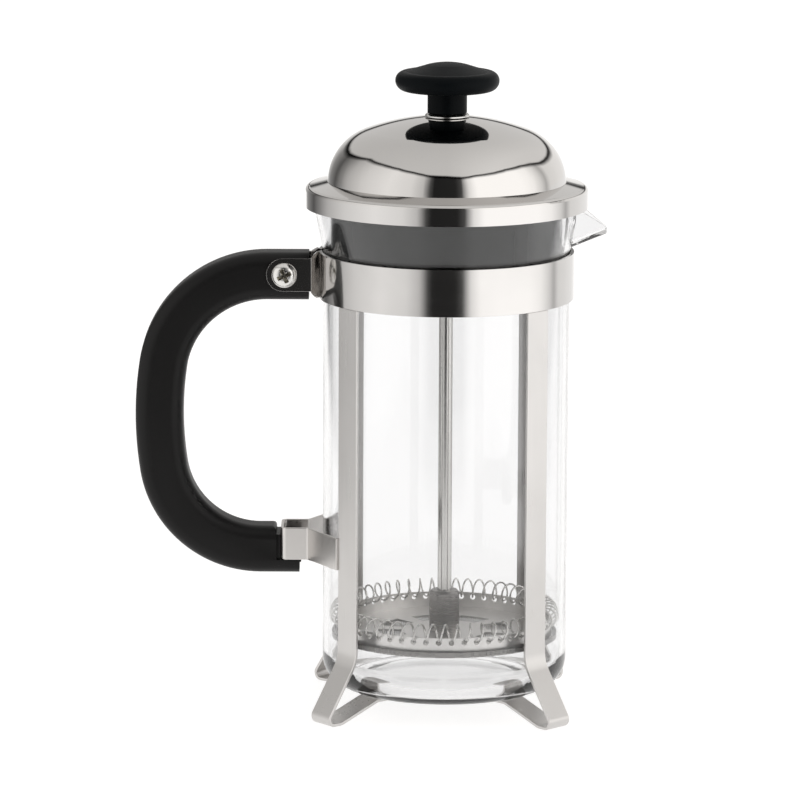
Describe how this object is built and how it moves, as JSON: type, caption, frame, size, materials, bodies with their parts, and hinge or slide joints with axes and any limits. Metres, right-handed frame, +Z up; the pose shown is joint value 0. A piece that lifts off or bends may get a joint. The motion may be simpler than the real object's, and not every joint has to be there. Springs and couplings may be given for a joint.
{
  "type": "french press",
  "caption": "Glass coffee beaker in a steel strap frame with a side handle, domed lid and a plunger whose filter presses the grounds down.",
  "frame": {"origin": "on the beaker's axis at the level of the undersides of the feet", "axes": "+Z up along the plunger rod, +X from the handle towards the pouring spout, +Y completes the right-handed set"},
  "size_m": [0.1338, 0.0802, 0.1855],
  "materials": {
    "polished_strap": "polished",
    "satin_strap": "satin",
    "black_moulding": "matte moulded",
    "matte_knob": "fine matte",
    "black_insert": "gloss",
    "screw_steel": "turned",
    "clear_glass": "clear",
    "polished_lid": "mirror polish",
    "brass_sleeve": "turned",
    "filter_steel": "pressed",
    "spring_wire": "drawn wire",
    "woven_screen": "fine weave"
  },
  "bodies": {
    "frame": {"frame_band": "polished_strap", "frame_leg_front_left": "satin_strap", "frame_leg_front_right": "satin_strap", "frame_leg_rear_left": "satin_strap", "frame_leg_rear_right": "satin_strap", "handle_bracket": "polished_strap", "handle_grip": "black_moulding", "handle_screw": "screw_steel", "handle_nut": "screw_steel"},
    "beaker": {"glass_beaker": "clear_glass"},
    "bushing": {"lid_bushing": "screw_steel", "lid_clip": "screw_steel"},
    "lid": {"lid_dome": "polished_lid", "lid_collar": "black_insert"},
    "plunger": {"plunger_rod": "screw_steel", "knob_grip": "matte_knob", "knob_insert": "brass_sleeve"},
    "filter": {"filter_hub": "filter_steel", "spiral_plate": "filter_steel", "filter_spring": "spring_wire", "filter_mesh": "woven_screen", "cross_plate": "filter_steel", "filter_stud": "filter_steel"}
  },
  "joints": [
    {"name": "beaker_lift", "type": "slide", "parent": "frame", "child": "beaker", "axis": [0, 0, 1], "range_m": [0, 0.15]},
    {"name": "lid_lift", "type": "slide", "parent": "beaker", "child": "bushing", "axis": [0, 0, 1], "range_m": [0, 0.14]},
    {"name": "lid_turn", "type": "hinge", "parent": "bushing", "child": "lid", "pos_m": [0, 0, 0.16], "axis": [0, 0, 1], "continuous": true},
    {"name": "plunger_press", "type": "slide", "parent": "bushing", "child": "plunger", "axis": [0, 0, 1], "range_m": [0, 0.096]},
    {"name": "filter_unscrew", "type": "hinge", "parent": "plunger", "child": "filter", "pos_m": [0, 0, 0.025], "axis": [0, 0, 1], "continuous": true}
  ]
}
